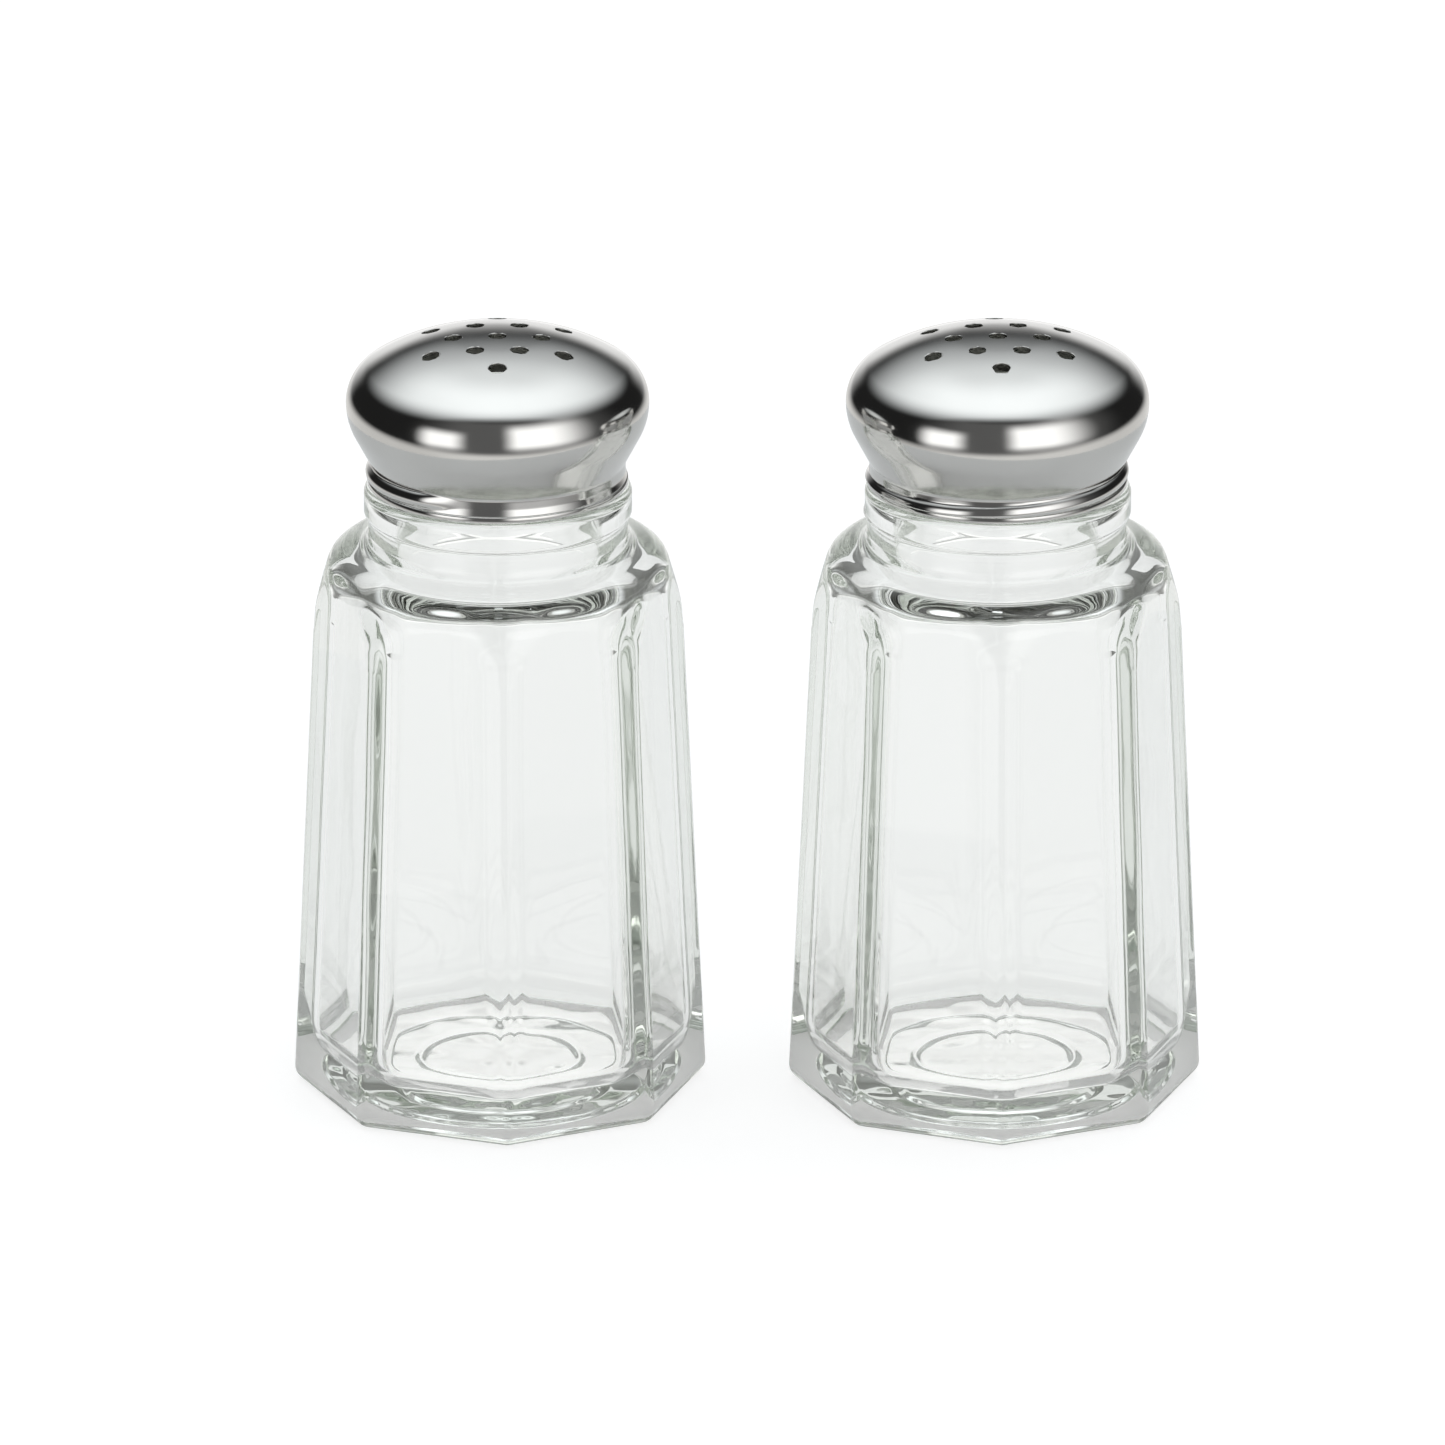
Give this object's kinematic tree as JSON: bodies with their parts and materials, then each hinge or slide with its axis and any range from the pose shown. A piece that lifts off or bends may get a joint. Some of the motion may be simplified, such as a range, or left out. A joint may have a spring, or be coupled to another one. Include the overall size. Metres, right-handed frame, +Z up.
{
  "type": "salt and pepper shakers",
  "caption": "Pair of tapered eight-sided clear glass table shakers, each with a domed, perforated stainless steel cap that screws onto the jar's threaded neck.",
  "frame": {"origin": "on the table, midway between the two shakers", "axes": "+Z up, +X from the salt shaker to the pepper shaker, -Y towards the user; each jar has a corner of its octagon to the front"},
  "size_m": [0.1133, 0.0514, 0.098],
  "materials": {
    "glass": "clear pressed glass, fire polished",
    "steel": "mirror polished stainless steel"
  },
  "bodies": {
    "salt_jar": {"salt_jar": "glass"},
    "salt_rim": {"salt_cap_rim": "steel"},
    "salt_cap": {"salt_cap": "steel"},
    "pepper_jar": {"pepper_jar": "glass"},
    "pepper_rim": {"pepper_cap_rim": "steel"},
    "pepper_cap": {"pepper_cap": "steel"}
  },
  "joints": [
    {"name": "salt_cap_lift", "type": "slide", "parent": "salt_jar", "child": "salt_rim", "axis": [0, 0, 1], "range_m": [0, 0.00397]},
    {"name": "salt_cap_turn", "type": "hinge", "parent": "salt_rim", "child": "salt_cap", "pos_m": [-0.03095, 0, 0.0895], "axis": [0, 0, 1], "range_deg": [0, 450]},
    {"name": "pepper_cap_lift", "type": "slide", "parent": "pepper_jar", "child": "pepper_rim", "axis": [0, 0, 1], "range_m": [0, 0.00397]},
    {"name": "pepper_cap_turn", "type": "hinge", "parent": "pepper_rim", "child": "pepper_cap", "pos_m": [0.03095, 0, 0.0895], "axis": [0, 0, 1], "range_deg": [0, 450]},
    {"name": "pepper_shaker_lift", "type": "slide", "parent": "salt_jar", "child": "pepper_jar", "axis": [0, 0, 1], "range_m": [0, 0.12]}
  ],
  "couplings": [
    {"joint": "salt_cap_lift", "follows": "salt_cap_turn", "m_per_rad": 0.00050532},
    {"joint": "pepper_cap_lift", "follows": "pepper_cap_turn", "m_per_rad": 0.00050532}
  ]
}
